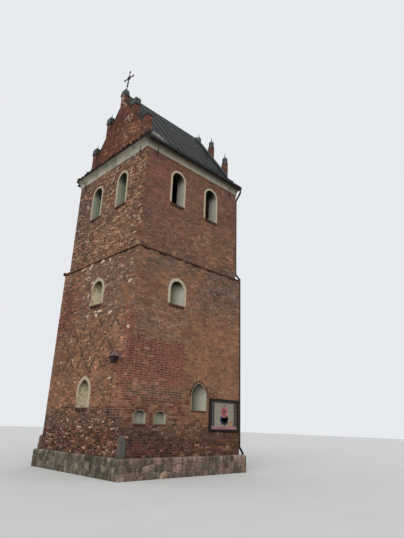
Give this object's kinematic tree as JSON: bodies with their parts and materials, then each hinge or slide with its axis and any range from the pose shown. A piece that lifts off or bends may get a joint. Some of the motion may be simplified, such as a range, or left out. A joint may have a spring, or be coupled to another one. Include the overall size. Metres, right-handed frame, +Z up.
{
  "type": "brick bell tower",
  "caption": "Square brick bell tower with plastered round-headed windows and niches, a cove cornice, a steep gabled sheet-metal roof and pinnacled gables with an iron cross.",
  "frame": {"origin": "ground level under the middle of the tower's plan", "axes": "+Z up; the street gable faces -Y; the eaves faces look to +X and -X; the ridge runs along Y"},
  "size_m": [7.34, 8.12, 22.4404],
  "materials": {
    "lower_brick": "weathered red brick",
    "upper_brick": "weathered brown-red brick",
    "gable_brick": "weathered red brick",
    "ledge_brick": "dark weathered brick",
    "sill_brick": "worn brick on edge",
    "paving_brick": "worn brick paving",
    "fieldstone": "grey fieldstone and cement",
    "plaster": "lime plaster, stained",
    "old_wood": "old dark timber",
    "door_wood": "painted dark brown boards",
    "frame_wood": "dark stained wood",
    "picture_print": "printed panel under a clear face",
    "copper_sheet": "dark weathered sheet with green bloom",
    "roof_sheet": "weathered standing-seam sheet",
    "gutter_sheet": "dark weathered sheet",
    "wrought_iron": "black iron with a little rust",
    "lantern_glass": "clear, dusty"
  },
  "bodies": {
    "root": {"belfry_floor": "old_wood", "corner_stones": "fieldstone", "cornice_back": "plaster", "cornice_front": "plaster", "cornice_ledge": "ledge_brick", "cornice_left": "plaster", "cornice_right": "plaster", "door_frame": "door_wood", "door_leaf": "door_wood", "downpipes": "gutter_sheet", "gable_back": "gable_brick", "gable_copings": "copper_sheet", "gable_cross": "wrought_iron", "gable_front": "gable_brick", "ground_floor": "paving_brick", "gutters": "gutter_sheet", "lantern_bracket": "wrought_iron", "lantern_frame": "wrought_iron", "lantern_glass": "lantern_glass", "lower_wall_back": "lower_brick", "lower_wall_front": "lower_brick", "lower_wall_left": "lower_brick", "lower_wall_right": "lower_brick", "picture_frame": "frame_wood", "picture_panel": "picture_print", "pinnacle_caps_back": "copper_sheet", "pinnacle_caps_front": "copper_sheet", "plinth_back": "fieldstone", "plinth_front": "fieldstone", "plinth_left": "fieldstone", "plinth_right": "fieldstone", "ridge_cap": "roof_sheet", "roof_slope_left": "roof_sheet", "roof_slope_right": "roof_sheet", "roof_timbers": "old_wood", "string_course": "ledge_brick", "surrounds_back": "plaster", "surrounds_front": "plaster", "surrounds_left": "plaster", "surrounds_right": "plaster", "upper_wall_back": "upper_brick", "upper_wall_front": "upper_brick", "upper_wall_left": "upper_brick", "upper_wall_right": "upper_brick", "verge_flashings": "copper_sheet", "wall_anchors": "wrought_iron", "window_sills": "sill_brick"}
  },
  "joints": []
}
